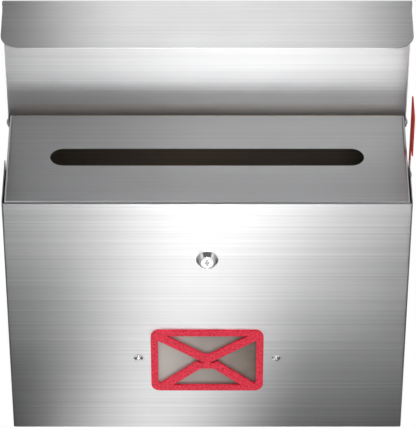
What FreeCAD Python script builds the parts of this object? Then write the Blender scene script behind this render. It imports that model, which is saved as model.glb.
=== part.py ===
"""Wall mounted mailbox: a folded steel box with a hood lid, a fold-down front door,
a cam lock, an envelope shaped window and a signal flag.

Millimetres. X runs to the right seen from the front, Y runs into the wall and Z is up.
The origin is the centre of the four wall screw holes, on the wall's surface.
The lid is modelled closed and then turned open, which is how it stands at rest.
"""

import FreeCAD
import Part
import math
import os

Vec = FreeCAD.Vector

# Overall sizes
body_width = 366.0
body_height = 284.4
body_depth = 128.4
wall_gap = 6.0
sheet = 0.9

# Folds of the body
side_bend = 3.0
front_bend = 1.5
rear_bend = 5.5
pan_bend = 4.5
floor_bend = 2.0
top_return = 12.0
side_return = 9.0
pan_flange = 16.0
pan_flange_drop = 24.0
bend_relief = 0.6

# Letter slot in the deck
slot_length = 286.6
slot_width = 24.2
slot_from_front = 63.9

# Wall fixing and drains
screw_pitch_x = 250.0
screw_edge = 32.2
wall_hole_radius = 3.25
spacer_radius = 10.0
drain_radius = 3.0
drain_pitch_x = 280.0
drain_pitch_y = 60.0
drain_from_back = 25.0

# Rivets
rivet_radius = 1.6
rivet_head_radius = 3.2
rivet_head_height = 1.0
rivet_tail_radius = 2.4
rivet_tail_height = 1.6
rivets_up_side = 3

# Door
door_gap = 1.0
door_side_gap = 1.1
door_top_drop = 1.2
door_bottom_lift = 0.8
door_flange = 61.0
door_bend = 1.6
bumper_radius = 4.0
bumper_height = 0.8
bumper_inset = 40.0

# Door hinge
knuckle_radius = 2.25
hinge_pin_radius = 1.25
hinge_leaf = 1.2
hinge_end_inset = 18.0
hinge_knuckles = 11
hinge_clearance = 0.4
hinge_leaf_reach = 20.0
knuckle_gap = 0.3
hinge_rivets = 4
hinge_rivet_end = 25.0
hinge_rivet_set = 12.0
door_swing_gap = 0.6

# Window
window_rise = 89.7
envelope_width = 105.3
envelope_height = 77.0
envelope_corner = 8.5
envelope_border = 6.7
envelope_thickness = 2.0
envelope_bond = 3.2
inner_corner = 5.0
flap_band = 8.7
flap_angle = 33.4
flap_point_rise = 1.2
flap_notch_radius = 8.0
fold_band = 8.8
fold_angle = 39.9
fold_end_x = 6.3
fold_end_drop = 4.1
fold_bar_half = 7.3
fold_bar_top_drop = 2.8
fold_bar_height = 7.0
pane_width = 147.0
pane_height = 92.0
pane_thickness = 2.0

# Window screws
window_screw_pitch = 129.0
window_screw_rise = 2.2
window_screw_radius = 2.0
window_screw_head_radius = 4.4
window_screw_head_height = 2.4
window_screw_length = 9.0
cross_length = 4.6
cross_width = 1.0
cross_depth = 1.3
washer_thickness = 0.8
window_washer_radius = 4.5
nut_flats = 7.0
nut_height = 3.2

# Cam lock
lock_drop = 68.8
bezel_radius = 10.2
bezel_face_radius = 8.2
bezel_height = 4.8
bezel_rim = 1.0
barrel_radius = 9.0
barrel_flat = 7.9
barrel_length = 15.0
plug_radius = 6.4
plug_recess = 0.5
plug_chamfer = 0.5
keyway_width = 1.6
keyway_height = 7.6
keyway_depth = 9.0
ward_width = 3.4
ward_height = 1.4
lock_nut_flats = 24.0
lock_nut_height = 4.0
lock_washer_radius = 12.0
cam_square = 6.0
cam_length = 32.0
cam_width = 13.0
cam_thickness = 1.8
cam_front_gap = 0.8
cam_screw_radius = 1.5
cam_screw_head_radius = 3.6
cam_screw_head_height = 1.8

# Keeper behind the deck's front return
keeper_width = 40.0
keeper_sheet = 1.2
keeper_tab = 9.0
keeper_overlap = 15.0
keeper_cam_gap = 1.4

# Lid
lid_reach = 137.0
lid_pivot_drop = 6.0
lid_pivot_from_back = 7.0
lid_clearance = 4.6
lid_rear = 5.4
lid_lip = 67.4
lid_lip_corner = 18.0
lid_flange = 6.3
lid_lip_inset = 0.8
lid_ear_radius = 4.5
lid_side_gap = 0.75
lid_bend = 2.0
lid_edge_round = 0.7
lid_open_angle = 88.0

# Lid pivots
pivot_radius = 2.0
pivot_head_radius = 3.6
pivot_head_height = 1.2
pivot_tail = 3.0
pivot_washer_radius = 4.2
clip_radius = 2.9
clip_thickness = 0.8

# Flag
flag_pivot_from_front = 74.0
flag_pivot_drop = 30.0
flag_arm_width = 10.0
flag_hub_radius = 6.5
flag_rise = 91.0
flag_plate_height = 46.6
flag_plate_width = 33.0
flag_thickness = 1.2
flag_offset = 0.3
flag_corner = 3.0
flag_screw_radius = 2.0
flag_head_radius = 4.6
flag_head_height = 1.5
flag_bush_radius = 5.5
flag_spring_thickness = 0.4
flag_spring_radius = 4.2
flag_driver_slot = 0.9

# Fits
running = 0.05
rivet_fit = 0.03
seat_play = 0.1

# Planes and heights that follow from the sizes above
half_width = body_width / 2
inner_half = half_width - sheet
back_y = -wall_gap
door_face_y = back_y - body_depth
door_back_y = door_face_y + sheet
shell_front_y = door_back_y + door_gap
return_back_y = shell_front_y + sheet
screw_pitch_z = body_height - 2 * screw_edge
deck_z = body_height / 2
floor_z = -body_height / 2
floor_top_z = floor_z + sheet
deck_under_z = deck_z - sheet

door_half = half_width + door_side_gap + sheet
door_top_z = deck_z - door_top_drop
door_bottom_z = floor_z + door_bottom_lift

hinge_y = door_back_y + hinge_clearance + knuckle_radius
hinge_z = floor_top_z + knuckle_radius
hinge_half_length = half_width - hinge_end_inset
tab_start = knuckle_radius / 2
strip_start = knuckle_radius + hinge_clearance
floor_front_y = hinge_y + hinge_z - door_bottom_z + door_swing_gap
swing_radius = math.hypot(hinge_y - door_face_y, hinge_z - door_bottom_z)

lock_z = deck_z - lock_drop
window_z = floor_z + window_rise
window_screw_z = window_z + window_screw_rise

lid_inner_half = half_width + lid_side_gap
lid_half = lid_inner_half + sheet
lid_pivot_y = back_y - lid_pivot_from_back
lid_pivot_z = deck_z - lid_pivot_drop
lid_front_y = lid_pivot_y - lid_reach
lid_rear_y = lid_pivot_y + lid_rear
lid_top_z = deck_z + lid_clearance + sheet

flag_inner_x = max(lid_half, door_half) + flag_offset
flag_outer_x = flag_inner_x + flag_thickness
flag_pivot_y = door_face_y + flag_pivot_from_front
flag_pivot_z = deck_z - flag_pivot_drop

cam_front_y = door_face_y + barrel_length + cam_front_gap
cam_back_y = cam_front_y + cam_thickness


def box(x_range, y_range, z_range):
    """Block between two values along each axis."""
    size = [high - low for low, high in (x_range, y_range, z_range)]
    return Part.makeBox(*size, Vec(x_range[0], y_range[0], z_range[0]))


def rod(radius, start, end):
    """Cylinder from one point to another."""
    line = Vec(*end) - Vec(*start)
    return Part.makeCylinder(radius, line.Length, Vec(*start), line)


def rod_x(radius, x_range, y, z):
    """Cylinder along X."""
    return rod(radius, (x_range[0], y, z), (x_range[1], y, z))


def rod_y(radius, y_range, x, z):
    """Cylinder along Y."""
    return rod(radius, (x, y_range[0], z), (x, y_range[1], z))


def rod_z(radius, z_range, x, y):
    """Cylinder along Z."""
    return rod(radius, (x, y, z_range[0]), (x, y, z_range[1]))


def joined(shapes):
    """One solid from touching or overlapping solids."""
    return shapes[0].fuse(shapes[1:]).removeSplitter()


def less(shape, cutters):
    """Shape with the cutters taken away."""
    return shape.cut(Part.makeCompound(cutters))


def grouped(shapes):
    """Separate identical solids kept together."""
    return Part.makeCompound(shapes)


def round_edges(shape, radius, test):
    """Rounds every edge whose bounding box passes the test."""
    edges = [edge for edge in shape.Edges if test(edge.BoundBox)]
    return shape.makeFillet(radius, edges)


def runs_along_x(bounds):
    """True for the bounding box of a straight edge along X."""
    return bounds.YLength < 0.01 and bounds.ZLength < 0.01


def runs_along_y(bounds):
    """True for the bounding box of a straight edge along Y."""
    return bounds.XLength < 0.01 and bounds.ZLength < 0.01


def runs_along_z(bounds):
    """True for the bounding box of a straight edge along Z."""
    return bounds.XLength < 0.01 and bounds.YLength < 0.01


def both_sides(shape):
    """A shape and its mirror image in the middle plane."""
    return [shape, shape.mirror(Vec(0, 0, 0), Vec(1, 0, 0))]


def evenly(count, span):
    """Places spread evenly over a span about zero, ends included."""
    return [span * (index / (count - 1) - 0.5) for index in range(count)]


def rounded_corners(points, radii):
    """Edges of an open path through the points, with an arc at each inner corner."""
    edges = []
    start = points[0]
    for corner, before, after, radius in zip(points[1:-1], points, points[2:], radii):
        back = (before - corner).normalize()
        ahead = (after - corner).normalize()
        half_angle = back.getAngle(ahead) / 2
        arc_start = corner + back * (radius / math.tan(half_angle))
        arc_end = corner + ahead * (radius / math.tan(half_angle))
        middle = (back + ahead).normalize()
        arc_middle = corner + middle * (radius / math.sin(half_angle) - radius)
        edges.append(Part.makeLine(start, arc_start))
        edges.append(Part.Arc(arc_start, arc_middle, arc_end).toShape())
        start = arc_end
    edges.append(Part.makeLine(start, points[-1]))
    return edges


def bent_sheet(outer, inner, bend, x_range):
    """Sheet folded along X. Outer and inner are its two sides as (y, z) points."""
    outer_points = [Vec(x_range[0], y, z) for y, z in outer]
    inner_points = [Vec(x_range[0], y, z) for y, z in inner]
    edges = rounded_corners(outer_points, bend)
    edges += rounded_corners(inner_points, [radius - sheet for radius in bend])
    edges.append(Part.makeLine(outer_points[0], inner_points[0]))
    edges.append(Part.makeLine(outer_points[-1], inner_points[-1]))
    face = Part.Face(Part.Wire(Part.__sortEdges__(edges)))
    return face.extrude(Vec(x_range[1] - x_range[0], 0, 0))


def stadium(length, width, z_range, y):
    """Round ended slot cutter along X."""
    reach = (length - width) / 2
    ends = [rod_z(width / 2, z_range, x, y) for x in (-reach, reach)]
    middle = box((-reach, reach), (y - width / 2, y + width / 2), z_range)
    return joined([middle] + ends)


def hexagon(flats, y_range, x, z):
    """Hexagonal block along Y."""
    corner = flats / math.sqrt(3)
    turns = [math.radians(60 * index) for index in range(7)]
    points = [Vec(x + corner * math.cos(a), y_range[0], z + corner * math.sin(a)) for a in turns]
    return Part.Face(Part.makePolygon(points)).extrude(Vec(0, y_range[1] - y_range[0], 0))


def domed_head(radius, height, base, direction):
    """Shallow dome head standing on a point and facing a direction."""
    ball_radius = (radius ** 2 + height ** 2) / (2 * height)
    centre = Vec(*base) + Vec(*direction) * (height - ball_radius)
    ball = Part.makeSphere(ball_radius, centre)
    return ball.common(Part.makeCylinder(radius, height, Vec(*base), Vec(*direction)))


def rivet(base, direction, grip):
    """Blind rivet: domed head on its base, shank through the grip and a round tail."""
    base = Vec(*base)
    direction = Vec(*direction)
    head = domed_head(rivet_head_radius, rivet_head_height, base, direction)
    shank = Part.makeCylinder(rivet_radius, grip + rivet_tail_height, base, direction * -1)
    tail_base = base - direction * grip
    tail = Part.makeCylinder(rivet_tail_radius, rivet_tail_height, tail_base, direction * -1)
    return joined([head, shank, tail])


def wall_hole_places():
    """X and Z of the four wall screws."""
    return [(x, z) for x in evenly(2, screw_pitch_x) for z in evenly(2, screw_pitch_z)]


def drain_places():
    """X and Y of the drain holes in the floor."""
    depths = (back_y - drain_from_back, back_y - drain_from_back - drain_pitch_y)
    return [(x, y) for x in evenly(2, drain_pitch_x) for y in depths]


def side_rivet_heights():
    """Heights of the rivets that join the shell's sides to the back pan."""
    top = deck_z - pan_flange_drop
    margin = pan_flange
    span = top - floor_top_z - 2 * margin
    middle = (top + floor_top_z) / 2
    return [middle + z for z in evenly(rivets_up_side, span)]


def side_rivet_y():
    """Depth of the rivets that join the shell's sides to the back pan."""
    return back_y - pan_flange / 2


def hinge_rivet_places():
    """X places of the rivets in the hinge's body leaf."""
    return evenly(hinge_rivets, 2 * (hinge_half_length - hinge_rivet_end))


def hinge_rivet_y():
    """Depth of the rivets in the hinge's body leaf."""
    return hinge_y + hinge_rivet_set


def body_shell():
    """Deck and both sides folded from one sheet, with returns behind the door."""
    bend_zone = side_bend / 2
    block = box((-half_width, half_width), (shell_front_y, back_y), (floor_z, deck_z))
    block = round_edges(block, rear_bend, lambda b: (
        runs_along_x(b) and b.YMin > back_y - bend_zone and b.ZMin > deck_z - bend_zone))
    block = round_edges(block, side_bend, lambda b: (
        runs_along_y(b) and b.ZMin > deck_z - bend_zone))
    block = round_edges(block, front_bend, lambda b: (
        b.YMax < shell_front_y + 0.01 and b.ZMax > floor_z + bend_zone))
    hollow = box((-inner_half, inner_half), (return_back_y, back_y + 1), (floor_z - 1, deck_under_z))
    hollow = round_edges(hollow, side_bend - sheet, lambda b: (
        runs_along_y(b) and b.ZMin > deck_under_z - bend_zone))
    hollow = round_edges(hollow, front_bend - sheet, lambda b: (
        b.YMax < return_back_y + 0.01 and b.ZMax > floor_z))
    doorway_half = half_width - side_return
    doorway_y = (shell_front_y - 1, return_back_y + 1)
    doorway = box((-doorway_half, doorway_half), doorway_y, (floor_z - 1, deck_z - top_return))
    rear_end = back_y - rear_bend
    deck_end_half = half_width - side_bend
    through_deck = (deck_under_z - 1, deck_z + 1)
    deck_end = box((-deck_end_half, deck_end_half), (rear_end, back_y + 1), through_deck)
    slot = stadium(slot_length, slot_width, through_deck, door_face_y + slot_from_front)
    swing_y = (shell_front_y - 1, hinge_y + swing_radius + door_swing_gap)
    swing = box((-half_width, half_width), swing_y, (floor_z - 1, hinge_z))
    through = (inner_half - 1, half_width + 1)
    pivot_hole = rod_x(pivot_radius + running, through, lid_pivot_y, lid_pivot_z)
    flag_hole = rod_x(flag_screw_radius + running, through, flag_pivot_y, flag_pivot_z)
    cutters = [hollow, doorway, deck_end, slot, swing, flag_hole]
    cutters += both_sides(pivot_hole)
    for z in side_rivet_heights():
        cutters += both_sides(rod_x(rivet_radius + rivet_fit, through, side_rivet_y(), z))
    return less(block, cutters)


def back_pan():
    """Back, floor and top flange folded from one sheet, with side flanges."""
    top = deck_under_z
    flange_y = back_y - pan_flange
    outer = [(flange_y, top), (back_y, top), (back_y, floor_z), (floor_front_y, floor_z)]
    inner = [
        (flange_y, top - sheet),
        (back_y - sheet, top - sheet),
        (back_y - sheet, floor_top_z),
        (floor_front_y, floor_top_z),
    ]
    pan = bent_sheet(outer, inner, [pan_bend, floor_bend], (-inner_half, inner_half))
    flange_x = (inner_half - sheet, inner_half)
    flange = box(flange_x, (flange_y, back_y - sheet), (floor_top_z, deck_z - pan_flange_drop))
    pan = joined([pan] + both_sides(flange))
    notch_x = (half_width - side_bend - bend_relief, half_width)
    notch_z = (top - side_bend - bend_relief, deck_z)
    notch = box(notch_x, (flange_y - 1, back_y + 1), notch_z)
    cutters = both_sides(notch)
    through_back = (back_y - sheet - 1, back_y + 1)
    through_floor = (floor_z - 1, floor_top_z + 1)
    through_flange = (flange_x[0] - 1, inner_half + 1)
    for x, z in wall_hole_places():
        cutters.append(rod_y(wall_hole_radius, through_back, x, z))
    for x, y in drain_places():
        cutters.append(rod_z(drain_radius, through_floor, x, y))
    for z in side_rivet_heights():
        cutters += both_sides(rod_x(rivet_radius + rivet_fit, through_flange, side_rivet_y(), z))
    for x in hinge_rivet_places():
        cutters.append(rod_z(rivet_radius + rivet_fit, through_floor, x, hinge_rivet_y()))
    return less(pan, cutters)


def shell_rivets():
    """Rivets that join the shell's sides to the back pan."""
    rivets = []
    for z in side_rivet_heights():
        rivets += both_sides(rivet((half_width, side_rivet_y(), z), (1, 0, 0), 2 * sheet))
    return grouped(rivets)


def wall_spacers():
    """Rubber rings that hold the back clear of the wall."""
    rings = []
    for x, z in wall_hole_places():
        ring = rod_y(spacer_radius, (back_y, 0), x, z)
        rings.append(ring.cut(rod_y(wall_hole_radius, (back_y - 1, 1), x, z)))
    return grouped(rings)


def lock_keeper():
    """Hook plate hanging from the deck's front return, which the cam turns behind."""
    drop_back_y = cam_front_y - keeper_cam_gap
    drop_front_y = drop_back_y - keeper_sheet
    half = keeper_width / 2
    tab_top = deck_under_z - front_bend
    tab_bottom = tab_top - keeper_tab
    drop_bottom = lock_z + keeper_overlap
    tab = box((-half, half), (return_back_y, return_back_y + keeper_sheet), (tab_bottom, tab_top))
    shelf = box((-half, half), (return_back_y, drop_back_y), (tab_bottom - keeper_sheet, tab_bottom))
    drop = box((-half, half), (drop_front_y, drop_back_y), (drop_bottom, tab_bottom))
    return joined([tab, shelf, drop])


def door_bumpers():
    """Thin rubber dots between the side returns and the door."""
    dot_x = half_width - side_return / 2
    dot_y = (shell_front_y - bumper_height, shell_front_y)
    dots = []
    for z in (deck_z - bumper_inset, floor_z + bumper_inset):
        dots += both_sides(rod_y(bumper_radius, dot_y, dot_x, z))
    return grouped(dots)


def knuckle_ranges(first):
    """X ranges of every second knuckle, starting with the given one."""
    pitch = 2 * hinge_half_length / hinge_knuckles
    starts = [-hinge_half_length + pitch * index for index in range(first, hinge_knuckles, 2)]
    return [(start + knuckle_gap / 2, start + pitch - knuckle_gap / 2) for start in starts]


def hinge_body_leaf():
    """Hinge half that is riveted to the floor."""
    leaf_z = (floor_top_z, floor_top_z + hinge_leaf)
    strip_y = (hinge_y + strip_start, hinge_y + hinge_leaf_reach)
    pieces = [box((-hinge_half_length, hinge_half_length), strip_y, leaf_z)]
    for x_range in knuckle_ranges(0):
        pieces.append(rod_x(knuckle_radius, x_range, hinge_y, hinge_z))
        pieces.append(box(x_range, (hinge_y + tab_start, hinge_y + strip_start), leaf_z))
    leaf = joined(pieces)
    holes = [rod_x(hinge_pin_radius + rivet_fit, (-half_width, half_width), hinge_y, hinge_z)]
    rivet_z = (floor_z, floor_top_z + 2 * hinge_leaf)
    for x in hinge_rivet_places():
        holes.append(rod_z(rivet_radius + rivet_fit, rivet_z, x, hinge_rivet_y()))
    return less(leaf, holes)


def hinge_door_leaf():
    """Hinge half that is welded to the door's inner face."""
    leaf_y = (door_back_y, door_back_y + hinge_leaf)
    strip_z = (hinge_z + strip_start, hinge_z + hinge_leaf_reach)
    pieces = [box((-hinge_half_length, hinge_half_length), leaf_y, strip_z)]
    for x_range in knuckle_ranges(1):
        pieces.append(rod_x(knuckle_radius, x_range, hinge_y, hinge_z))
        pieces.append(box(x_range, leaf_y, (hinge_z + tab_start, hinge_z + strip_start)))
    leaf = joined(pieces)
    return leaf.cut(rod_x(hinge_pin_radius + running, (-half_width, half_width), hinge_y, hinge_z))


def hinge_pin():
    """Long pin through every knuckle."""
    return rod_x(hinge_pin_radius, (-hinge_half_length, hinge_half_length), hinge_y, hinge_z)


def hinge_leaf_rivets():
    """Rivets that hold the hinge's body leaf to the floor."""
    grip = sheet + hinge_leaf
    places = hinge_rivet_places()
    return grouped([rivet((x, hinge_rivet_y(), floor_z), (0, 0, -1), grip) for x in places])


def lock_hole(y_range, play):
    """Round hole with two flats for the lock's barrel."""
    hole = rod_y(barrel_radius + play, y_range, 0, lock_z)
    flat = barrel_flat + play
    limits = box((-flat, flat), y_range, (lock_z - barrel_radius - 1, lock_z + barrel_radius + 1))
    return hole.common(limits)


def window_screw_places():
    """X of the two window screws."""
    return evenly(2, window_screw_pitch)


def window_opening(y_range):
    """Opening in the door behind the envelope frame."""
    half_x = envelope_width / 2 - envelope_bond
    half_z = envelope_height / 2 - envelope_bond
    opening = box((-half_x, half_x), y_range, (window_z - half_z, window_z + half_z))
    return round_edges(opening, inner_corner, runs_along_y)


def front_door():
    """Door panel with long side flanges that wrap outside the shell."""
    back = door_face_y + door_flange
    heights = (door_bottom_z, door_top_z)
    block = box((-door_half, door_half), (door_face_y, back), heights)
    block = round_edges(block, door_bend, lambda b: (
        runs_along_z(b) and b.YMin < door_face_y + 0.01))
    hollow_half = door_half - sheet
    hollow_z = (door_bottom_z - 1, door_top_z + 1)
    hollow = box((-hollow_half, hollow_half), (door_back_y, back + 1), hollow_z)
    hollow = round_edges(hollow, door_bend - sheet, lambda b: (
        runs_along_z(b) and b.YMin < door_back_y + 0.01))
    through = (door_face_y - 1, door_back_y + 1)
    cutters = [hollow, lock_hole(through, seat_play), window_opening(through)]
    for x in window_screw_places():
        cutters.append(rod_y(window_screw_radius + seat_play, through, x, window_screw_z))
    return less(block, cutters)


def envelope_band(side, end, angle, width):
    """Flat band that runs from an end point (x, z) out past the frame's left or right edge."""
    slope = math.radians(angle)
    along = Vec(side * math.cos(slope), 0, math.sin(slope))
    across = Vec(-along.z, 0, along.x) * (width / 2)
    near = Vec(side * end[0], door_face_y - envelope_thickness, window_z + end[1])
    far = near + along * envelope_width
    corners = [near + across, far + across, far - across, near - across, near + across]
    return Part.Face(Part.makePolygon(corners)).extrude(Vec(0, envelope_thickness, 0))


def envelope_frame():
    """Envelope outline with a flap and two lower folds, stuck over the window."""
    half_x = envelope_width / 2
    half_z = envelope_height / 2
    y_range = (door_face_y - envelope_thickness, door_face_y)
    plate = box((-half_x, half_x), y_range, (window_z - half_z, window_z + half_z))
    plate = round_edges(plate, envelope_corner, runs_along_y)
    inside_x = half_x - envelope_border
    inside_z = half_z - envelope_border
    inside = box((-inside_x, inside_x), y_range, (window_z - inside_z, window_z + inside_z))
    inside = round_edges(inside, inner_corner, runs_along_y)
    border = plate.cut(inside)
    bands = []
    for side in (-1, 1):
        bands.append(envelope_band(side, (0, flap_point_rise), flap_angle, flap_band))
        bands.append(envelope_band(side, (fold_end_x, -fold_end_drop), -fold_angle, fold_band))
    bands.append(rod_y(flap_band / 2, y_range, 0, window_z + flap_point_rise))
    bar_top = window_z - fold_bar_top_drop
    bar_z = (bar_top - fold_bar_height, bar_top)
    bands.append(box((-fold_bar_half, fold_bar_half), y_range, bar_z))
    frame = joined([border] + [band.common(plate) for band in bands])
    return round_edges(frame, flap_notch_radius, lambda b: (
        runs_along_y(b) and abs(b.XMin) < 0.01 and b.ZMin > window_z))


def window_pane():
    """Clear sheet behind the door, held by the two window screws."""
    half_x = pane_width / 2
    half_z = pane_height / 2
    y_range = (door_back_y, door_back_y + pane_thickness)
    pane = box((-half_x, half_x), y_range, (window_z - half_z, window_z + half_z))
    pane = round_edges(pane, inner_corner, runs_along_y)
    hole_radius = window_screw_radius + seat_play
    return less(pane, [rod_y(hole_radius, y_range, x, window_screw_z) for x in window_screw_places()])


def window_screws():
    """Cross recessed pan head screws that clamp the pane."""
    screws = []
    for x in window_screw_places():
        base = (x, door_face_y, window_screw_z)
        head = domed_head(window_screw_head_radius, window_screw_head_height, base, (0, -1, 0))
        shank_y = (door_face_y, door_face_y + window_screw_length)
        shank = rod_y(window_screw_radius, shank_y, x, window_screw_z)
        top_y = door_face_y - window_screw_head_height
        recess_y = (top_y - 1, top_y + cross_depth)
        arms = []
        for half_x, half_z in ((cross_length / 2, cross_width / 2), (cross_width / 2, cross_length / 2)):
            z_range = (window_screw_z - half_z, window_screw_z + half_z)
            arms.append(box((x - half_x, x + half_x), recess_y, z_range))
        screws.append(less(joined([head, shank]), [joined(arms)]))
    return grouped(screws)


def window_washers():
    """Washers between the pane and the nuts."""
    start = door_back_y + pane_thickness
    end = start + washer_thickness
    rings = []
    for x in window_screw_places():
        ring = rod_y(window_washer_radius, (start, end), x, window_screw_z)
        hole = rod_y(window_screw_radius + seat_play, (start - 1, end + 1), x, window_screw_z)
        rings.append(ring.cut(hole))
    return grouped(rings)


def window_nuts():
    """Nuts on the window screws."""
    start = door_back_y + pane_thickness + washer_thickness
    end = start + nut_height
    nuts = []
    for x in window_screw_places():
        nut = hexagon(nut_flats, (start, end), x, window_screw_z)
        hole = rod_y(window_screw_radius + rivet_fit, (start - 1, end + 1), x, window_screw_z)
        nuts.append(nut.cut(hole))
    return grouped(nuts)


def turned_taper(front_radius, back_radius, start_y, length):
    """Cone on the lock's axis from one depth towards the wall."""
    return Part.makeCone(front_radius, back_radius, length, Vec(0, start_y, lock_z), Vec(0, 1, 0))


def lock_barrel():
    """Lock housing: tapered bezel in front of the door and a flatted barrel behind it."""
    front_y = door_face_y - bezel_height
    rim = turned_taper(bezel_face_radius - bezel_rim / 2, bezel_face_radius, front_y, bezel_rim)
    skirt_length = bezel_height - bezel_rim
    skirt = turned_taper(bezel_face_radius, bezel_radius, front_y + bezel_rim, skirt_length)
    barrel = lock_hole((door_face_y, door_face_y + barrel_length), 0)
    body = joined([rim, skirt, barrel])
    bore = rod_y(plug_radius + running, (front_y - 1, door_face_y + barrel_length + 1), 0, lock_z)
    bore_radius = plug_radius + running
    lead_in = turned_taper(bore_radius + plug_chamfer, bore_radius, front_y, plug_chamfer)
    return less(body, [bore, lead_in])


def lock_washer():
    """Washer between the door and the lock's nut."""
    y_range = (door_back_y, door_back_y + washer_thickness)
    ring = rod_y(lock_washer_radius, y_range, 0, lock_z)
    return ring.cut(lock_hole((y_range[0] - 1, y_range[1] + 1), seat_play))


def lock_nut():
    """Large nut that clamps the lock in the door."""
    start = door_back_y + washer_thickness
    end = start + lock_nut_height
    nut = hexagon(lock_nut_flats, (start, end), 0, lock_z)
    return nut.cut(rod_y(barrel_radius + rivet_fit, (start - 1, end + 1), 0, lock_z))


def lock_plug():
    """Turning plug with its keyway in front and a square end for the cam."""
    front_y = door_face_y - bezel_height + plug_recess
    back = door_face_y + barrel_length + seat_play
    plug = rod_y(plug_radius, (front_y, back), 0, lock_z)
    plug = round_edges(plug, plug_chamfer, lambda b: b.YMax < front_y + 0.01)
    half = cam_square / 2
    square = box((-half, half), (back, cam_back_y), (lock_z - half, lock_z + half))
    body = joined([plug, square])
    key_y = (front_y - 1, front_y + keyway_depth)
    blade_z = (lock_z - keyway_height / 2, lock_z + keyway_height / 2)
    blade = box((-keyway_width / 2, keyway_width / 2), key_y, blade_z)
    ward_z = (lock_z - ward_height / 2, lock_z + ward_height / 2)
    ward = box((-ward_width / 2, ward_width / 2), key_y, ward_z)
    keyway = joined([blade, ward])
    screw_hole = rod_y(cam_screw_radius + rivet_fit, (back, cam_back_y + 1), 0, lock_z)
    return less(body, [keyway, screw_hole])


def lock_cam():
    """Flat finger on the plug's square end, pointing sideways when unlocked."""
    y_range = (cam_front_y, cam_back_y)
    tip_x = cam_length - cam_width / 2
    hub = rod_y(cam_width / 2, y_range, 0, lock_z)
    tip = rod_y(cam_width / 2, y_range, tip_x, lock_z)
    finger = box((0, tip_x), y_range, (lock_z - cam_width / 2, lock_z + cam_width / 2))
    half = cam_square / 2 + running
    hole = box((-half, half), (cam_front_y - 1, cam_back_y + 1), (lock_z - half, lock_z + half))
    return joined([hub, tip, finger]).cut(hole)


def cam_screw():
    """Screw that holds the cam on the plug."""
    shank_y = (door_face_y + barrel_length + 2 * seat_play, cam_back_y)
    shank = rod_y(cam_screw_radius, shank_y, 0, lock_z)
    base = (0, cam_back_y, lock_z)
    head = domed_head(cam_screw_head_radius, cam_screw_head_height, base, (0, 1, 0))
    slot = box(
        (-cam_screw_head_radius, cam_screw_head_radius),
        (cam_back_y + cam_screw_head_height / 2, cam_back_y + 2 * cam_screw_head_height),
        (lock_z - cross_width / 2, lock_z + cross_width / 2))
    return joined([shank, head]).cut(slot)


def lid():
    """Hood lid: top plate, deep front lip and side flanges with pivot ears."""
    top = lid_top_z
    lip_end = top - lid_lip
    outer = [(lid_rear_y, top), (lid_front_y, top), (lid_front_y, lip_end)]
    inner = [
        (lid_rear_y, top - sheet),
        (lid_front_y + sheet, top - sheet),
        (lid_front_y + sheet, lip_end),
    ]
    hood = bent_sheet(outer, inner, [lid_bend], (-lid_half, lid_half))
    trim_x = (lid_half - lid_lip_inset, lid_half + 1)
    trim = box(trim_x, (lid_front_y - 1, lid_front_y + sheet), (lip_end - 1, top - lid_bend))
    hood = less(hood, both_sides(trim))
    hood = round_edges(hood, lid_lip_corner, lambda b: (
        runs_along_y(b) and b.ZMax < lip_end + 0.01))
    flange_x = (lid_inner_half, lid_half)
    flange = box(flange_x, (lid_front_y + sheet, lid_rear_y), (top - lid_flange, top - sheet / 2))
    ear_y = (lid_pivot_y - lid_ear_radius, lid_pivot_y + lid_ear_radius)
    ear = box(flange_x, ear_y, (lid_pivot_z, top - lid_flange))
    ear = joined([ear, rod_x(lid_ear_radius, flange_x, lid_pivot_y, lid_pivot_z)])
    cover = joined([hood] + both_sides(flange) + both_sides(ear))
    cover = round_edges(cover, lid_edge_round, lambda b: (
        runs_along_y(b) and b.ZMin > top - 0.01 and b.YLength > lid_reach / 2))
    hole_x = (lid_inner_half - 1, lid_half + 1)
    hole = rod_x(pivot_radius + running, hole_x, lid_pivot_y, lid_pivot_z)
    cover = less(cover, both_sides(hole))
    cover.rotate(Vec(0, lid_pivot_y, lid_pivot_z), Vec(1, 0, 0), -lid_open_angle)
    return cover


def pivot_pin():
    """Right hand lid pivot: domed head outside the ear and a shank through the shell."""
    head_x = lid_half + seat_play
    base = (head_x, lid_pivot_y, lid_pivot_z)
    head = domed_head(pivot_head_radius, pivot_head_height, base, (1, 0, 0))
    shank = rod_x(pivot_radius, (inner_half - pivot_tail, head_x), lid_pivot_y, lid_pivot_z)
    return joined([head, shank])


def pivot_ring(radius, x_range, play):
    """Ring on the right hand lid pivot."""
    ring = rod_x(radius, x_range, lid_pivot_y, lid_pivot_z)
    hole_x = (x_range[0] - 1, x_range[1] + 1)
    return ring.cut(rod_x(pivot_radius + play, hole_x, lid_pivot_y, lid_pivot_z))


def pivot_washer():
    """Right hand nylon washer between the shell and the lid's ear."""
    return pivot_ring(pivot_washer_radius, (half_width, lid_inner_half - seat_play), running)


def pivot_clip():
    """Right hand push-on clip that keeps the pivot pin in the shell."""
    return pivot_ring(clip_radius, (inner_half - clip_thickness, inner_half), rivet_fit)


def flag():
    """Signal flag: a plate on an arm that turns about its lower end."""
    x_range = (flag_inner_x, flag_outer_x)
    top = flag_pivot_z + flag_rise
    rear = flag_pivot_y + flag_arm_width / 2
    plate_low = top - flag_plate_height
    arm = box(x_range, (rear - flag_arm_width, rear), (flag_pivot_z, top))
    plate = box(x_range, (rear - flag_plate_width, rear), (plate_low, top))
    hub = rod_x(flag_hub_radius, x_range, flag_pivot_y, flag_pivot_z)
    blank = joined([arm, plate, hub])
    blank = round_edges(blank, flag_corner, lambda b: (
        runs_along_x(b) and b.ZMin > plate_low - 0.01))
    hole_x = (flag_inner_x - 1, flag_outer_x + 1)
    return blank.cut(rod_x(flag_screw_radius + running, hole_x, flag_pivot_y, flag_pivot_z))


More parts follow.
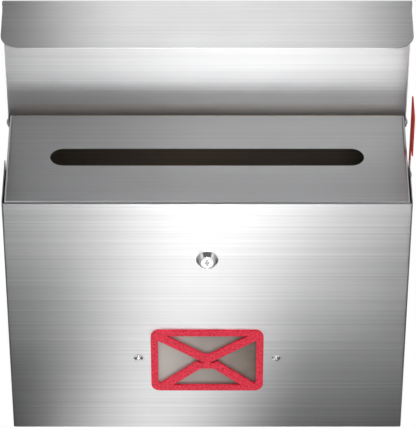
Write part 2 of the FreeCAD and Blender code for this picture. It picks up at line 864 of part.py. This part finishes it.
def flag_ring(radius, x_range, play):
    """Ring on the flag's pivot."""
    ring = rod_x(radius, x_range, flag_pivot_y, flag_pivot_z)
    hole_x = (x_range[0] - 1, x_range[1] + 1)
    return ring.cut(rod_x(flag_screw_radius + play, hole_x, flag_pivot_y, flag_pivot_z))


def flag_bush():
    """Spacer bush that holds the flag clear of the lid and the door."""
    return flag_ring(flag_bush_radius, (half_width, flag_inner_x - seat_play), running)


def flag_spring_washer():
    """Wave washer under the screw's head, which gives the flag its friction."""
    start = flag_outer_x + seat_play
    return flag_ring(flag_spring_radius, (start, start + flag_spring_thickness), running)


def flag_inner_washer():
    """Washer between the shell and the flag's nut."""
    return flag_ring(window_washer_radius, (inner_half - washer_thickness, inner_half), seat_play)


def flag_screw():
    """Slotted screw that the flag turns on."""
    head_x = flag_outer_x + seat_play + flag_spring_thickness
    base = (head_x, flag_pivot_y, flag_pivot_z)
    head = domed_head(flag_head_radius, flag_head_height, base, (1, 0, 0))
    end_x = inner_half - washer_thickness - nut_height - 1
    shank = rod_x(flag_screw_radius, (end_x, head_x), flag_pivot_y, flag_pivot_z)
    slot = box(
        (head_x + flag_head_height / 2, head_x + 2 * flag_head_height),
        (flag_pivot_y - flag_head_radius, flag_pivot_y + flag_head_radius),
        (flag_pivot_z - flag_driver_slot / 2, flag_pivot_z + flag_driver_slot / 2))
    return joined([head, shank]).cut(slot)


def flag_nut():
    """Nut inside the shell on the flag's screw."""
    start = inner_half - washer_thickness
    nut = hexagon(nut_flats, (0, nut_height), 0, 0)
    nut.rotate(Vec(0, 0, 0), Vec(0, 0, 1), 90)
    nut.translate(Vec(start, flag_pivot_y, flag_pivot_z))
    hole_x = (start - nut_height - 1, start + 1)
    return nut.cut(rod_x(flag_screw_radius + rivet_fit, hole_x, flag_pivot_y, flag_pivot_z))


def export_parts():
    """Writes one STEP file for each node."""
    nodes = {
        "body_shell": body_shell(),
        "back_pan": back_pan(),
        "shell_rivets": shell_rivets(),
        "wall_spacers": wall_spacers(),
        "lock_keeper": lock_keeper(),
        "door_bumpers": door_bumpers(),
        "hinge_body_leaf": hinge_body_leaf(),
        "hinge_leaf_rivets": hinge_leaf_rivets(),
        "hinge_pin": hinge_pin(),
        "hinge_door_leaf": hinge_door_leaf(),
        "front_door": front_door(),
        "envelope_frame": envelope_frame(),
        "window_pane": window_pane(),
        "window_screws": window_screws(),
        "window_washers": window_washers(),
        "window_nuts": window_nuts(),
        "lock_barrel": lock_barrel(),
        "lock_washer": lock_washer(),
        "lock_nut": lock_nut(),
        "lock_plug": lock_plug(),
        "lock_cam": lock_cam(),
        "cam_screw": cam_screw(),
        "lid": lid(),
        "lid_pivot_pins": grouped(both_sides(pivot_pin())),
        "lid_pivot_washers": grouped(both_sides(pivot_washer())),
        "lid_pivot_clips": grouped(both_sides(pivot_clip())),
        "flag": flag(),
        "flag_bush": flag_bush(),
        "flag_spring_washer": flag_spring_washer(),
        "flag_screw": flag_screw(),
        "flag_inner_washer": flag_inner_washer(),
        "flag_nut": flag_nut(),
    }
    os.makedirs("parts", exist_ok=True)
    for name, shape in nodes.items():
        if not shape.isValid():
            raise ValueError(name + " is not a valid shape")
        shape.exportStep("parts/" + name + ".step")


export_parts()
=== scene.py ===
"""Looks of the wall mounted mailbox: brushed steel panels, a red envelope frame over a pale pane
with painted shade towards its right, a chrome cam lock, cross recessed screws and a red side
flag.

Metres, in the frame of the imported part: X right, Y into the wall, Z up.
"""

import math

import bmesh
import bpy
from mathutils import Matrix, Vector


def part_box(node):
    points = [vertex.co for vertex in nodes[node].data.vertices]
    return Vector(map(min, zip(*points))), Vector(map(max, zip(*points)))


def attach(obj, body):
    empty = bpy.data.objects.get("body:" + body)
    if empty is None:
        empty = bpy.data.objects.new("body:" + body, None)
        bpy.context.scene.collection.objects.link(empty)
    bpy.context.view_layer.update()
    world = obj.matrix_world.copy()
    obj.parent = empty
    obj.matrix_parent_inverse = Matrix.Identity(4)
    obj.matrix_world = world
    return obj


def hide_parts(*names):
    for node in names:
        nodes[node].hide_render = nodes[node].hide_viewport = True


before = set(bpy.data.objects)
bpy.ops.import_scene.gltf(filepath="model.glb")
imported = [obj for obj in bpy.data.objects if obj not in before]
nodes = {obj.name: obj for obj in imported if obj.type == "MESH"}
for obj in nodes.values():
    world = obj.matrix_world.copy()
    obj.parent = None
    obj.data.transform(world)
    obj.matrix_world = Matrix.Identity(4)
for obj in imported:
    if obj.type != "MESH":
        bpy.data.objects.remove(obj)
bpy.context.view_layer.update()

MM = 0.001


# ---------------------------------------------------------------- materials

def new_material(name):
    """An empty node material with a Principled shader, and short ways to add nodes."""
    made = bpy.data.materials.new(name)
    made.use_nodes = True
    tree = made.node_tree
    shader = tree.nodes["Principled BSDF"]
    return made, tree, shader


def noise(tree, coords, scale, detail, roughness, stretch=(1, 1, 1)):
    """Noise in object space, with its coordinates stretched first."""
    mapping = tree.nodes.new("ShaderNodeMapping")
    mapping.inputs["Scale"].default_value = stretch
    tree.links.new(coords, mapping.inputs["Vector"])
    texture = tree.nodes.new("ShaderNodeTexNoise")
    texture.inputs["Scale"].default_value = scale
    texture.inputs["Detail"].default_value = detail
    texture.inputs["Roughness"].default_value = roughness
    tree.links.new(mapping.outputs["Vector"], texture.inputs["Vector"])
    return texture.outputs["Fac"]


def remap(tree, value, low, high, start=0.3, end=0.7):
    """Takes a value from one range to another."""
    node = tree.nodes.new("ShaderNodeMapRange")
    node.inputs["From Min"].default_value = start
    node.inputs["From Max"].default_value = end
    node.inputs["To Min"].default_value = low
    node.inputs["To Max"].default_value = high
    tree.links.new(value, node.inputs["Value"])
    return node.outputs["Result"]


def blend_colours(tree, factor, first, second):
    """Mixes two plain colours by a factor."""
    node = tree.nodes.new("ShaderNodeMix")
    node.data_type = "RGBA"
    node.inputs["A"].default_value = (*first, 1)
    node.inputs["B"].default_value = (*second, 1)
    tree.links.new(factor, node.inputs["Factor"])
    return node.outputs["Result"]


def combine(tree, operation, first, second):
    """Result of a math node with two linked inputs."""
    node = tree.nodes.new("ShaderNodeMath")
    node.operation = operation
    tree.links.new(first, node.inputs[0])
    tree.links.new(second, node.inputs[1])
    return node.outputs["Value"]


def multiply(tree, first, second):
    """Product of two values."""
    return combine(tree, "MULTIPLY", first, second)


def object_coordinates(tree):
    """Place on the piece in its own frame, which is the part's frame."""
    return tree.nodes.new("ShaderNodeTexCoord").outputs["Object"]


def bump(tree, shader, height, strength, distance):
    """Bump on a shader's normal."""
    node = tree.nodes.new("ShaderNodeBump")
    node.inputs["Strength"].default_value = strength
    node.inputs["Distance"].default_value = distance
    tree.links.new(height, node.inputs["Height"])
    tree.links.new(node.outputs["Normal"], shader.inputs["Normal"])


BRUSH_BROAD = 0.22
BRUSH_DARK = 0.72
BRUSH_LIGHT = 1.12
BRUSH_DEPTH = 0.03 * MM
BRUSH_STRETCH = 0.9


def brushed_steel(name, across, grain, tone, rough, streak):
    """Satin steel brushed along one way. Across is the stretch that draws the fine lines."""
    made, tree, shader = new_material(name)
    coords = object_coordinates(tree)
    fine = noise(tree, coords, 1.0, 5.0, 0.7, across)
    broad = noise(tree, coords, 1.0, 3.0, 0.6, [stretch * BRUSH_BROAD for stretch in across])
    smudge = noise(tree, coords, 9.0, 3.0, 0.5)
    fine_lines = remap(tree, fine, 1 - streak, 1 + streak)
    broad_lines = remap(tree, broad, 1 - streak / 2, 1 + streak / 2)
    lines = remap(tree, multiply(tree, fine_lines, broad_lines), 0, 1, 0.6, 1.4)
    dark = [channel * BRUSH_DARK for channel in tone]
    light = [min(1.0, channel * BRUSH_LIGHT) for channel in tone]
    tree.links.new(blend_colours(tree, lines, dark, light), shader.inputs["Base Color"])
    line_roughness = remap(tree, fine, rough * 0.85, rough * 1.15)
    roughness = multiply(tree, line_roughness, remap(tree, smudge, 0.94, 1.06))
    tree.links.new(roughness, shader.inputs["Roughness"])
    shader.inputs["Metallic"].default_value = 1.0
    shader.inputs["Anisotropic"].default_value = BRUSH_STRETCH
    shader.inputs["Anisotropic Rotation"].default_value = 0.25
    tangent = tree.nodes.new("ShaderNodeCombineXYZ")
    for axis, amount in zip("XYZ", grain):
        tangent.inputs[axis].default_value = amount
    tree.links.new(tangent.outputs["Vector"], shader.inputs["Tangent"])
    bump(tree, shader, fine, 0.25, BRUSH_DEPTH)
    return made


SCRATCH_DEPTH = 0.03 * MM


def plain_metal(name, tone, rough, wear=0.1):
    """Plated or polished metal with faint smudges and tiny scratches."""
    made, tree, shader = new_material(name)
    coords = object_coordinates(tree)
    smudge = noise(tree, coords, 260.0, 4.0, 0.6)
    scratch = noise(tree, coords, 1.0, 3.0, 0.6, (400, 2600, 900))
    dark = [channel * (1 - wear) for channel in tone]
    colour = blend_colours(tree, remap(tree, smudge, 0, 1), dark, tone)
    tree.links.new(colour, shader.inputs["Base Color"])
    smudge_roughness = remap(tree, smudge, rough * 0.8, rough * 1.25)
    roughness = multiply(tree, smudge_roughness, remap(tree, scratch, 0.9, 1.1))
    tree.links.new(roughness, shader.inputs["Roughness"])
    shader.inputs["Metallic"].default_value = 1.0
    bump(tree, shader, scratch, 0.08, SCRATCH_DEPTH)
    return made


COAT_GRAIN = 520.0
COAT_DEPTH = 0.25 * MM


def red_coat(name, tone, deep):
    """Sandy textured powder coat with small bright grains."""
    made, tree, shader = new_material(name)
    coords = object_coordinates(tree)
    grains = noise(tree, coords, COAT_GRAIN, 2.0, 0.6)
    cloud = noise(tree, coords, 160.0, 3.0, 0.5)
    mixed = multiply(tree, remap(tree, grains, -0.05, 1.5), remap(tree, cloud, 0.75, 1.1))
    tree.links.new(blend_colours(tree, mixed, deep, tone), shader.inputs["Base Color"])
    tree.links.new(remap(tree, grains, 0.42, 0.68), shader.inputs["Roughness"])
    shader.inputs["Specular IOR Level"].default_value = 0.25
    bump(tree, shader, grains, 0.5, COAT_DEPTH)
    return made


MOULD_GRAIN = 700.0
MOULD_DEPTH = 0.1 * MM


def moulded(name, tone, rough):
    """Rubber or nylon with a fine moulded texture."""
    made, tree, shader = new_material(name)
    coords = object_coordinates(tree)
    grains = noise(tree, coords, MOULD_GRAIN, 4.0, 0.6)
    dark = [channel * 0.7 for channel in tone]
    colour = blend_colours(tree, remap(tree, grains, 0, 1), dark, tone)
    tree.links.new(colour, shader.inputs["Base Color"])
    roughness = remap(tree, grains, rough * 0.85, min(1.0, rough * 1.15))
    tree.links.new(roughness, shader.inputs["Roughness"])
    bump(tree, shader, grains, 0.3, MOULD_DEPTH)
    return made


ACRYLIC_CLEARNESS = 0.5
ACRYLIC_IOR = 1.49


def milky_acrylic(name, pale, painted_shade_tone, half_width):
    """Slightly milky pane with hairline scratches, darkened towards the right by painted shade
    that stands in for reflection.
    """
    made, tree, shader = new_material(name)
    coords = object_coordinates(tree)
    scratch = noise(tree, coords, 1.0, 4.0, 0.7, (60, 900, 1500))
    cloud = noise(tree, coords, 30.0, 2.0, 0.5)
    place = tree.nodes.new("ShaderNodeSeparateXYZ")
    tree.links.new(coords, place.inputs["Vector"])
    across = remap(tree, place.outputs["X"], 0.0, 1.0, -half_width, half_width)
    # Painted shade: the colour runs from the pale tone on the left to the dark tone on the
    # right.
    painted_shade_ramp = multiply(tree, across, remap(tree, cloud, 0.85, 1.15))
    tree.links.new(blend_colours(tree, painted_shade_ramp, pale, painted_shade_tone), shader.inputs["Base Color"])
    tree.links.new(remap(tree, scratch, 0.02, 0.09), shader.inputs["Roughness"])
    shader.inputs["Transmission Weight"].default_value = ACRYLIC_CLEARNESS
    shader.inputs["IOR"].default_value = ACRYLIC_IOR
    return made


STEEL = (0.74, 0.74, 0.745)
DOOR_STEEL = (0.66, 0.66, 0.665)
# Darker, browner tone than the shell's steel: painted shade for the inside of the box.
SHADED_PAN_STEEL = (0.54, 0.45, 0.37)
COARSE = 2.4
FINE = 1500.0
ALONG_DOOR = (COARSE, COARSE, FINE)
ALONG_SHELL = (COARSE, FINE, COARSE)
ALONG_X = (COARSE, FINE, FINE)
PANE_HALF_WIDTH = 55 * MM

looks = {
    "door_steel": brushed_steel("door_steel", ALONG_DOOR, (1, 1, 0), DOOR_STEEL, 0.34, 0.24),
    "shell_steel": brushed_steel("shell_steel", ALONG_SHELL, (1, 0, 1), STEEL, 0.40, 0.16),
    "lid_steel": brushed_steel("lid_steel", ALONG_X, (1, 0, 0), STEEL, 0.38, 0.2),
    # Painted shade: the parts inside the box get this darker steel tone.
    "shaded_pan_steel": brushed_steel("shaded_pan_steel", ALONG_X, (1, 0, 0), SHADED_PAN_STEEL, 0.45, 0.2),
    "zinc": plain_metal("zinc", (0.66, 0.67, 0.68), 0.34),
    "chrome": plain_metal("chrome", (0.88, 0.88, 0.89), 0.13, 0.05),
    "bright_steel": plain_metal("bright_steel", (0.90, 0.90, 0.90), 0.24, 0.06),
    "red_coat": red_coat("red_coat", (0.97, 0.032, 0.085), (0.55, 0.004, 0.014)),
    "flag_red": red_coat("flag_red", (0.62, 0.045, 0.03), (0.42, 0.015, 0.012)),
    "rubber": moulded("rubber", (0.03, 0.03, 0.03), 0.8),
    "nylon": moulded("nylon", (0.035, 0.035, 0.038), 0.5),
    # The second colour is the painted shade at the pane's right end.
    "acrylic": milky_acrylic("acrylic", (0.98, 0.93, 0.88), (0.30, 0.23, 0.17), PANE_HALF_WIDTH),
}

DEFAULT_LOOK = "zinc"

node_looks = {
    "body_shell": "shell_steel",
    "front_door": "door_steel",
    "lid": "lid_steel",
    "back_pan": "shaded_pan_steel",
    "lock_keeper": "shaded_pan_steel",
    "envelope_frame": "red_coat",
    "flag": "flag_red",
    "window_pane": "acrylic",
    "window_screws": "bright_steel",
    "lock_barrel": "chrome",
    "lock_plug": "chrome",
    "flag_screw": "chrome",
    "wall_spacers": "rubber",
    "door_bumpers": "rubber",
    "lid_pivot_washers": "nylon",
    "flag_bush": "nylon",
}

for node_name, node in nodes.items():
    node.data.materials.clear()
    node.data.materials.append(looks[node_looks.get(node_name, DEFAULT_LOOK)])


# ------------------------------------------------------------- finished pieces

CREASE = math.radians(28)
SHARP = math.radians(35)
FLAT = math.radians(0.5)
SAME_PLACE = 0.001 * MM


def flattened(mesh):
    """Joins the triangles of each flat face, ready for its edges to be worked."""
    work = bmesh.new()
    work.from_mesh(mesh)
    bmesh.ops.remove_doubles(work, verts=work.verts, dist=SAME_PLACE)
    bmesh.ops.dissolve_limit(
        work, angle_limit=FLAT, verts=work.verts, edges=work.edges, delimit={"NORMAL"})
    return work


def ease_edges(work, width, rounds):
    """Rounds every crease over by a small width."""
    creases = [
        edge for edge in work.edges
        if len(edge.link_faces) == 2 and edge.calc_face_angle(0.0) > CREASE]
    bmesh.ops.bevel(
        work, geom=creases, offset=width, offset_type="OFFSET", segments=rounds, profile=0.5,
        affect="EDGES", clamp_overlap=True, loop_slide=True)


def eased_piece(node_name, body, slot, width, rounds):
    """Piece that stands for a node, with its edges eased as deburring or coating leaves them."""
    work = flattened(nodes[node_name].data)
    ease_edges(work, width, rounds)
    bmesh.ops.triangulate(work, faces=[face for face in work.faces if len(face.verts) > 4])
    bmesh.ops.recalc_face_normals(work, faces=work.faces)
    mesh = bpy.data.meshes.new("finished_" + node_name)
    work.to_mesh(mesh)
    work.free()
    mesh.shade_smooth()
    mesh.set_sharp_from_angle(angle=SHARP)
    piece = bpy.data.objects.new("finished_" + node_name, mesh)
    bpy.context.scene.collection.objects.link(piece)
    weighted = piece.modifiers.new("flat_faces_stay_flat", "WEIGHTED_NORMAL")
    weighted.mode = "FACE_AREA"
    weighted.weight = 100
    weighted.keep_sharp = True
    mesh.materials.append(looks[node_looks.get(node_name, DEFAULT_LOOK)])
    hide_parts(node_name)
    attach(piece, body)


EASED = [
    ("envelope_frame", "door", "red_paint", 0.45 * MM, 3),
    ("flag", "flag", "red_paint", 0.30 * MM, 2),
    ("lock_barrel", "door", "chrome", 0.25 * MM, 3),
    ("lock_plug", "lock", "chrome", 0.18 * MM, 2),
    ("window_screws", "door", "chrome", 0.12 * MM, 2),
    ("flag_screw", "root", "chrome", 0.15 * MM, 2),
    ("front_door", "door", "brushed_steel", 0.16 * MM, 2),
    ("lid", "lid", "brushed_steel", 0.16 * MM, 2),
    ("body_shell", "root", "brushed_steel", 0.16 * MM, 2),
]
for eased in EASED:
    eased_piece(*eased)


# ------------------------------------------------------------- camera and stage

CAMERA_PITCH = math.radians(41.2)
CAMERA_DISTANCE = 2.8645
CAMERA_RISE = 0.00988
CAMERA_LENS = 268.3
CAMERA_SHIFT = 0.002
SENSOR_WIDTH = 36

door_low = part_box("front_door")[0]
shell_low, shell_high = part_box("body_shell")

FLOOR_DROP = 0.25
FLOOR_REACH = 6
SURROUND = 0.13

CARD_REACH = 2
OUTER_START = 0.55
OUTER_FADE = 0.5
OUTER_LEVEL = 0.55

FRONT_CARD_DROP = 0.06
FRONT_CARD_GAP = 0.01
FRONT_CARD_END = -2.5
BAND_START = -0.068
BAND_SLANT = 0.19
BAND_HALF_WIDTH = 0.14375
BAND_PEAK = 1.62
BAND_BASE = 0.03
NEAR_LEVEL = 0.85
NEAR_END = 0.40
NEAR_END_LEVEL = 0.80
FAR_START = 0.75
FAR_END = 1.4
FAR_CENTRE = 0.015
FAR_INNER = 0.12
FAR_OUTER = 0.38
FAR_PEAK = 15.0
FAR_BASE = 0.1

BACK_CARD_Y = 0.5
BACK_CENTRE = 0.015
UPPER_CARD_Y = -1.6
UPPER_CENTRE = 0.14
SIDE_CARD_X = 2.1
FILL_HEIGHT = 2.6
FILL_LEVEL = 2.7

GLOW_POWER = 0.22
GLOW_SIZE = 0.06
GLOW_CONE = math.radians(75)
GLOW_COLOUR = (1.0, 0.93, 0.86)


def make_camera():
    """Camera that looks down on the door's top edge."""
    data = bpy.data.cameras.new("camera")
    data.lens = CAMERA_LENS
    data.sensor_width = SENSOR_WIDTH
    data.shift_x = CAMERA_SHIFT
    camera = bpy.data.objects.new("camera", data)
    bpy.context.scene.collection.objects.link(camera)
    forward = Vector((0, math.cos(CAMERA_PITCH), -math.sin(CAMERA_PITCH)))
    upward = Vector((0, math.sin(CAMERA_PITCH), math.cos(CAMERA_PITCH)))
    aim = Vector((0, door_low.y, shell_high.z))
    camera.location = aim - forward * CAMERA_DISTANCE - upward * CAMERA_RISE
    camera.rotation_euler = (math.pi / 2 - CAMERA_PITCH, 0, 0)
    bpy.context.scene.camera = camera


def glowing_card(name, corners, brightness):
    """Flat card that glows. Brightness builds the strength from the card's own coordinates."""
    mesh = bpy.data.meshes.new(name)
    mesh.from_pydata(corners, [], [(0, 1, 2, 3)])
    card = bpy.data.objects.new(name, mesh)
    bpy.context.scene.collection.objects.link(card)
    made = bpy.data.materials.new(name)
    made.use_nodes = True
    tree = made.node_tree
    tree.nodes.clear()
    emission = tree.nodes.new("ShaderNodeEmission")
    output = tree.nodes.new("ShaderNodeOutputMaterial")
    tree.links.new(emission.outputs["Emission"], output.inputs["Surface"])
    split = tree.nodes.new("ShaderNodeSeparateXYZ")
    coords = object_coordinates(tree)
    tree.links.new(coords, split.inputs["Vector"])
    brightness(tree, split.outputs, emission.inputs["Strength"])
    mesh.materials.append(made)
    return card


def only_in_reflections(card):
    """Hides a card from everything except glossy reflections."""
    card.visible_camera = False
    card.visible_diffuse = False
    card.visible_transmission = False
    card.visible_shadow = False


def line_value(tree, value, at_zero, slope):
    """Slope times a value plus a constant."""
    node = tree.nodes.new("ShaderNodeMath")
    node.operation = "MULTIPLY_ADD"
    node.inputs[1].default_value = slope
    node.inputs[2].default_value = at_zero
    tree.links.new(value, node.inputs[0])
    return node.outputs["Value"]


def soft_fall(tree, value, inner, outer, high, low):
    """High up to the inner distance from zero and low past the outer one."""
    distance = tree.nodes.new("ShaderNodeMath")
    distance.operation = "ABSOLUTE"
    tree.links.new(value, distance.inputs[0])
    fall = tree.nodes.new("ShaderNodeMapRange")
    fall.interpolation_type = "SMOOTHSTEP"
    fall.inputs["From Min"].default_value = inner
    fall.inputs["From Max"].default_value = outer
    fall.inputs["To Min"].default_value = high
    fall.inputs["To Max"].default_value = low
    tree.links.new(distance.outputs["Value"], fall.inputs["Value"])
    return fall.outputs["Result"]


def ramp_value(tree, value, start, end, low, high):
    """Smooth change from low to high between two places."""
    node = tree.nodes.new("ShaderNodeMapRange")
    node.interpolation_type = "SMOOTHSTEP"
    node.inputs["From Min"].default_value = start
    node.inputs["From Max"].default_value = end
    node.inputs["To Min"].default_value = low
    node.inputs["To Max"].default_value = high
    tree.links.new(value, node.inputs["Value"])
    return node.outputs["Result"]


def outer_glow(tree, sideways):
    """Even glow of a card's outer parts, which only a view from the side sees reflected."""
    return soft_fall(tree, sideways, OUTER_START, OUTER_START + OUTER_FADE, 0.0, OUTER_LEVEL)


def wide_card(name, y, low_z, high_z, brightness):
    """Upright card across the view, seen only in reflections."""
    corners = [
        (-CARD_REACH, y, low_z), (CARD_REACH, y, low_z),
        (CARD_REACH, y, high_z), (-CARD_REACH, y, high_z)]
    only_in_reflections(glowing_card(name, corners, brightness))


def level_card(name, reach, near_y, far_y, z, brightness):
    """Level card, given by its half width and its two ends."""
    corners = [(-reach, far_y, z), (reach, far_y, z), (reach, near_y, z), (-reach, near_y, z)]
    return glowing_card(name, corners, brightness)


def make_floor():
    """Plain white floor that lights the part evenly from below."""
    def white(tree, place, strength):
        strength.default_value = 1.0
    height = door_low.z - FLOOR_DROP
    floor = level_card("floor", FLOOR_REACH, FLOOR_REACH, -FLOOR_REACH, height, white)
    floor.visible_glossy = False


def make_front_card():
    """Low card in front: a slanted band near the door and a wide glow further out."""
    def band(tree, place, strength):
        reach = line_value(tree, place["Y"], door_low.y, -1.0)
        centre = line_value(tree, reach, BAND_START, BAND_SLANT)
        offset = combine(tree, "SUBTRACT", place["X"], centre)
        level = soft_fall(tree, offset, 0.0, BAND_HALF_WIDTH, BAND_PEAK, BAND_BASE)
        near = ramp_value(tree, reach, 0.0, NEAR_END, NEAR_LEVEL, NEAR_END_LEVEL)
        far = ramp_value(tree, reach, FAR_START, FAR_END, 0.0, 1.0)
        sideways = line_value(tree, place["X"], -FAR_CENTRE, 1.0)
        wide = soft_fall(tree, sideways, FAR_INNER, FAR_OUTER, FAR_PEAK, FAR_BASE)
        total = combine(tree, "ADD", multiply(tree, level, near), multiply(tree, far, wide))
        tree.links.new(combine(tree, "ADD", total, outer_glow(tree, place["X"])), strength)
    near_y = door_low.y - FRONT_CARD_GAP
    height = door_low.z - FRONT_CARD_DROP
    card = level_card("front_card", CARD_REACH, near_y, FRONT_CARD_END, height, band)
    only_in_reflections(card)


def centred_glow(centre, inner, outer, high, low):
    """Brightness for an upright card that is brightest near one line."""
    def glow(tree, place, strength):
        shifted = line_value(tree, place["X"], -centre, 1.0)
        middle = soft_fall(tree, shifted, inner, outer, high, low)
        tree.links.new(combine(tree, "ADD", middle, outer_glow(tree, place["X"])), strength)
    return glow


def make_back_card():
    """Upright card behind and above, which the open lid's lip reflects."""
    glow = centred_glow(BACK_CENTRE, 0.12, 0.25, 1.7, 0.04)
    wide_card("back_card", BACK_CARD_Y, 0.35, 2.2, glow)


def make_camera_side_card():
    """Upright card in front and above, which the deck and the lid's lower half reflect."""
    glow = centred_glow(UPPER_CENTRE, 0.0, 0.42, 2.7, 0.2)
    wide_card("camera_side_card", UPPER_CARD_Y, 0.5, 2.4, glow)


def make_side_cards():
    """Upright cards left and right, which the box's sides reflect."""
    def even(tree, place, strength):
        tree.links.new(ramp_value(tree, place["Z"], -0.6, 1.6, 0.35, 0.9), strength)
    for name, x in (("left_card", -SIDE_CARD_X), ("right_card", SIDE_CARD_X)):
        corners = [(x, -3, -0.6), (x, 3, -0.6), (x, 3, 2.4), (x, -3, 2.4)]
        only_in_reflections(glowing_card(name, corners, even))


def make_world():
    """Soft grey surround."""
    world = bpy.data.worlds.new("world")
    world.use_nodes = True
    background = world.node_tree.nodes["Background"]
    background.inputs["Color"].default_value = (1, 1, 1, 1)
    background.inputs["Strength"].default_value = SURROUND
    bpy.context.scene.world = world
    bpy.context.scene.view_settings.view_transform = "Standard"


def make_fill():
    """Large soft light above the part for painted and moulded pieces."""
    def white(tree, place, strength):
        strength.default_value = FILL_LEVEL
    fill = level_card("fill", CARD_REACH, 0.8, -3.0, FILL_HEIGHT, white)
    fill.visible_camera = False
    fill.visible_glossy = False
    fill.visible_shadow = False


def make_inner_glow():
    """Small soft spot inside the box that lights the mail compartment from the left."""
    data = bpy.data.lights.new("inner_glow", "SPOT")
    data.energy = GLOW_POWER
    data.shadow_soft_size = GLOW_SIZE
    data.spot_size = GLOW_CONE
    data.spot_blend = 1.0
    data.color = GLOW_COLOUR
    glow = bpy.data.objects.new("inner_glow", data)
    bpy.context.scene.collection.objects.link(glow)
    middle = (shell_low + shell_high) / 2
    glow.location = (shell_low.x * 0.45, middle.y, shell_low.z * 0.45)
    target = Vector((shell_low.x * 0.12, shell_high.y, shell_low.z))
    glow.rotation_euler = (target - glow.location).to_track_quat("-Z", "Y").to_euler()


make_camera()
make_inner_glow()
make_floor()
make_front_card()
make_back_card()
make_camera_side_card()
make_side_cards()
make_fill()
make_world()
